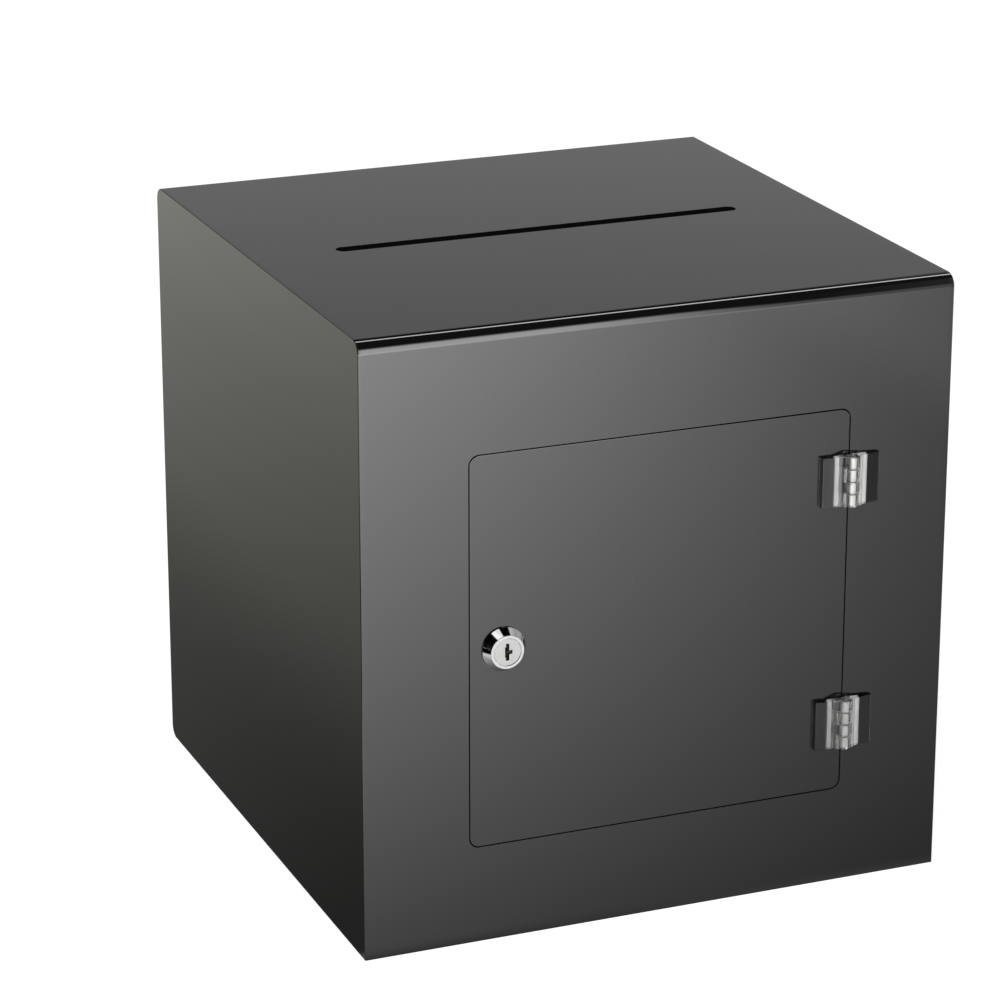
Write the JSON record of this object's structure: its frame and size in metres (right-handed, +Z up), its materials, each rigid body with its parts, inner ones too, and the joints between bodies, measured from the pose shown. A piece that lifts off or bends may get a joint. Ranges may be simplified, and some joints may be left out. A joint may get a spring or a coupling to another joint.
{
  "type": "ballot box",
  "caption": "Square black acrylic ballot box with a slot in its top and a flush front door on pinned butt hinges, held shut by a key-operated cam lock.",
  "frame": {"origin": "centre of the box's footprint, on the surface it stands on", "axes": "+Z up, -Y out of the front face that holds the door, +X towards the hinge side"},
  "size_m": [0.305, 0.3121, 0.308],
  "materials": {
    "black_acrylic": "polished cast acrylic sheet",
    "clear_acrylic": "clear moulded acrylic",
    "bright_steel": "bright drawn wire",
    "chrome_plate": "polished chrome plate on a die casting",
    "satin_chrome": "satin chrome plate",
    "zinc_plate": "bright zinc-plated steel",
    "tumbler_brass": "stamped brass"
  },
  "bodies": {
    "box": {"wrap_sheet": "black_acrylic", "left_side_panel": "black_acrylic", "right_side_panel": "black_acrylic", "upper_door_stop": "black_acrylic", "lower_door_stop": "black_acrylic", "upper_hinge_frame_leaf": "clear_acrylic", "lower_hinge_frame_leaf": "clear_acrylic", "upper_hinge_pin": "bright_steel", "lower_hinge_pin": "bright_steel"},
    "door": {"door_panel": "black_acrylic", "upper_hinge_door_leaf": "clear_acrylic", "lower_hinge_door_leaf": "clear_acrylic", "lock_body": "chrome_plate", "lock_nut": "zinc_plate", "lock_star_washer": "zinc_plate"},
    "lock_cylinder": {"lock_plug": "satin_chrome", "tumbler_wafers": "tumbler_brass", "wafer_springs": "bright_steel", "stop_washer": "zinc_plate", "cam": "zinc_plate", "cam_screw": "zinc_plate", "cam_screw_washer": "zinc_plate"}
  },
  "joints": [
    {"name": "door_swing", "type": "hinge", "parent": "box", "child": "door", "pos_m": [0.0985, -0.1561, 0.1484], "axis": [0, 0, 1], "range_deg": [0, 135]},
    {"name": "plug_turn", "type": "hinge", "parent": "door", "child": "lock_cylinder", "pos_m": [-0.0812, -0.1405, 0.1497], "axis": [0, 1, 0], "range_deg": [0, 90]}
  ]
}
